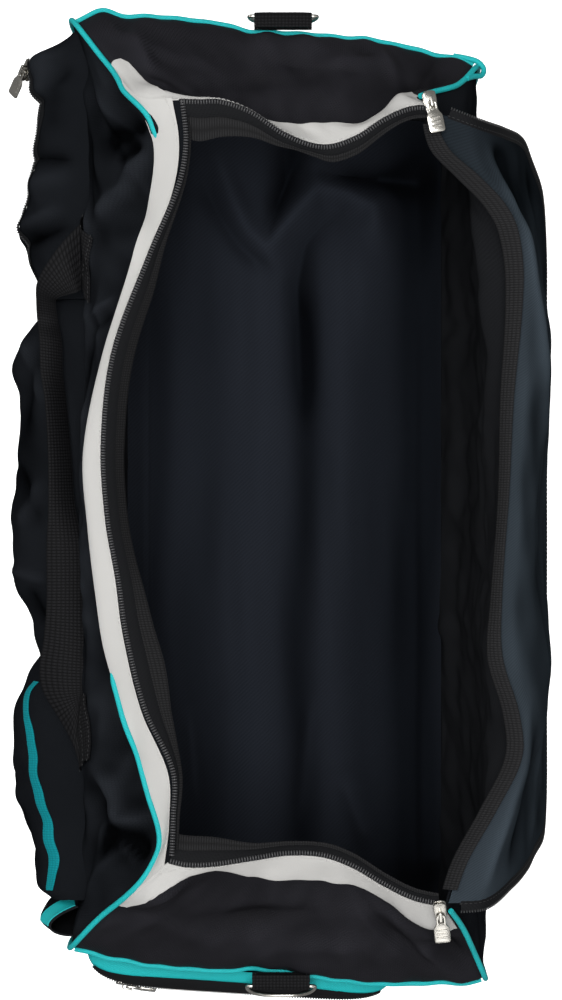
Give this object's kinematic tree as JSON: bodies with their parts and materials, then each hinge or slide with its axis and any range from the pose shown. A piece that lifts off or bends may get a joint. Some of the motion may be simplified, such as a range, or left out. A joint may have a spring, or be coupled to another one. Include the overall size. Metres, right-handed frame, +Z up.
{
  "type": "rolling tool bag",
  "caption": "Long soft tool bag on wheels, open, its lid turned over the back edge, with zipped pockets, a webbing carry handle, piping and steel dees.",
  "frame": {"origin": "floor under the middle of the overall box", "axes": "+Y along the bag towards the wheeled end, +Z up, -X the side with the pockets and the carry handle"},
  "size_m": [0.5729, 0.9656, 0.357],
  "materials": {
    "black_cloth": "woven, coated",
    "charcoal_cloth": "coarse weave",
    "turquoise_cloth": "woven",
    "lining": "twill, slight sheen",
    "white_facing": "coated, matt",
    "zip_tape": "ribbed tape",
    "turquoise_piping": "ribbed",
    "black_webbing": "ribbed webbing",
    "nickel": "plated",
    "black_plastic": "moulded",
    "black_rubber": "matt"
  },
  "bodies": {
    "bag": {"front_panel": "black_cloth", "back_panel": "black_cloth", "far_end_panel": "turquoise_cloth", "near_end_panel": "turquoise_cloth", "far_shoulder": "charcoal_cloth", "near_shoulder": "charcoal_cloth", "base_panel": "lining", "rim_band": "white_facing", "rim_zip_tape": "zip_tape", "rim_binding": "zip_tape", "lid_panel": "lining", "lid_zip_tape": "zip_tape", "hinge_binding": "zip_tape", "front_piping": "turquoise_piping", "back_piping_far": "turquoise_piping", "back_piping_near": "turquoise_piping", "far_end_piping": "turquoise_piping", "near_end_piping": "turquoise_piping", "far_pocket": "black_cloth", "middle_pocket": "black_cloth", "near_pocket": "black_cloth", "near_pocket_strip": "turquoise_piping", "far_pocket_zip": "zip_tape", "bottle_pocket": "black_cloth", "bottle_pocket_binding": "turquoise_piping", "end_pocket": "turquoise_cloth", "end_pocket_zip": "zip_tape", "carry_handle": "black_webbing", "far_tab": "black_webbing", "near_tab": "black_webbing", "wheel_housing_left": "black_plastic", "wheel_housing_right": "black_plastic", "foot_left": "black_plastic", "foot_right": "black_plastic", "mouth_far_slider": "nickel", "mouth_near_slider": "nickel", "far_pocket_slider": "nickel", "end_pocket_slider": "nickel"},
    "left_wheel": {"wheel_hub_left": "black_plastic", "wheel_tyre_left": "black_rubber"},
    "right_wheel": {"wheel_hub_right": "black_plastic", "wheel_tyre_right": "black_rubber"},
    "far_dee": {"far_ring": "nickel"},
    "near_dee": {"near_ring": "nickel"},
    "mouth_far_zip_pull": {"mouth_far_pull": "nickel"},
    "mouth_near_zip_pull": {"mouth_near_pull": "nickel"},
    "far_pocket_zip_pull": {"far_pocket_pull": "nickel"},
    "end_pocket_zip_pull": {"end_pocket_pull": "nickel"}
  },
  "joints": [
    {"name": "left_wheel_spin", "type": "hinge", "parent": "bag", "child": "left_wheel", "pos_m": [-0.1344, 0.3964, 0.027], "axis": [1, 0, 0], "continuous": true},
    {"name": "right_wheel_spin", "type": "hinge", "parent": "bag", "child": "right_wheel", "pos_m": [0.1296, 0.3964, 0.027], "axis": [1, 0, 0], "continuous": true},
    {"name": "far_dee_swing", "type": "hinge", "parent": "bag", "child": "far_dee", "pos_m": [-0.0004, 0.4781, 0.24803], "axis": [1, 0, 0], "range_deg": [-12, 110]},
    {"name": "near_dee_swing", "type": "hinge", "parent": "bag", "child": "near_dee", "pos_m": [-0.0024, -0.4633, 0.24903], "axis": [-1, 0, 0], "range_deg": [0, 80]},
    {"name": "mouth_far_pull_lift", "type": "hinge", "parent": "bag", "child": "mouth_far_zip_pull", "pos_m": [0.1363, 0.37541, 0.35265], "axis": [-0.9739, -0.1948, 0.1169], "range_deg": [0, 150]},
    {"name": "mouth_near_pull_lift", "type": "hinge", "parent": "bag", "child": "mouth_near_zip_pull", "pos_m": [0.14476, -0.37534, 0.3511], "axis": [-0.9943, -0.0994, -0.0398], "range_deg": [0, 150]},
    {"name": "far_pocket_pull_lift", "type": "hinge", "parent": "bag", "child": "far_pocket_zip_pull", "pos_m": [-0.25788, 0.43459, 0.205], "axis": [-0.556, 0.6178, -0.556], "range_deg": [0, 150]},
    {"name": "end_pocket_pull_lift", "type": "hinge", "parent": "bag", "child": "end_pocket_zip_pull", "pos_m": [-0.1557, -0.47599, 0.19801], "axis": [-0.1108, -0.3757, -0.9201], "range_deg": [0, 150]}
  ]
}
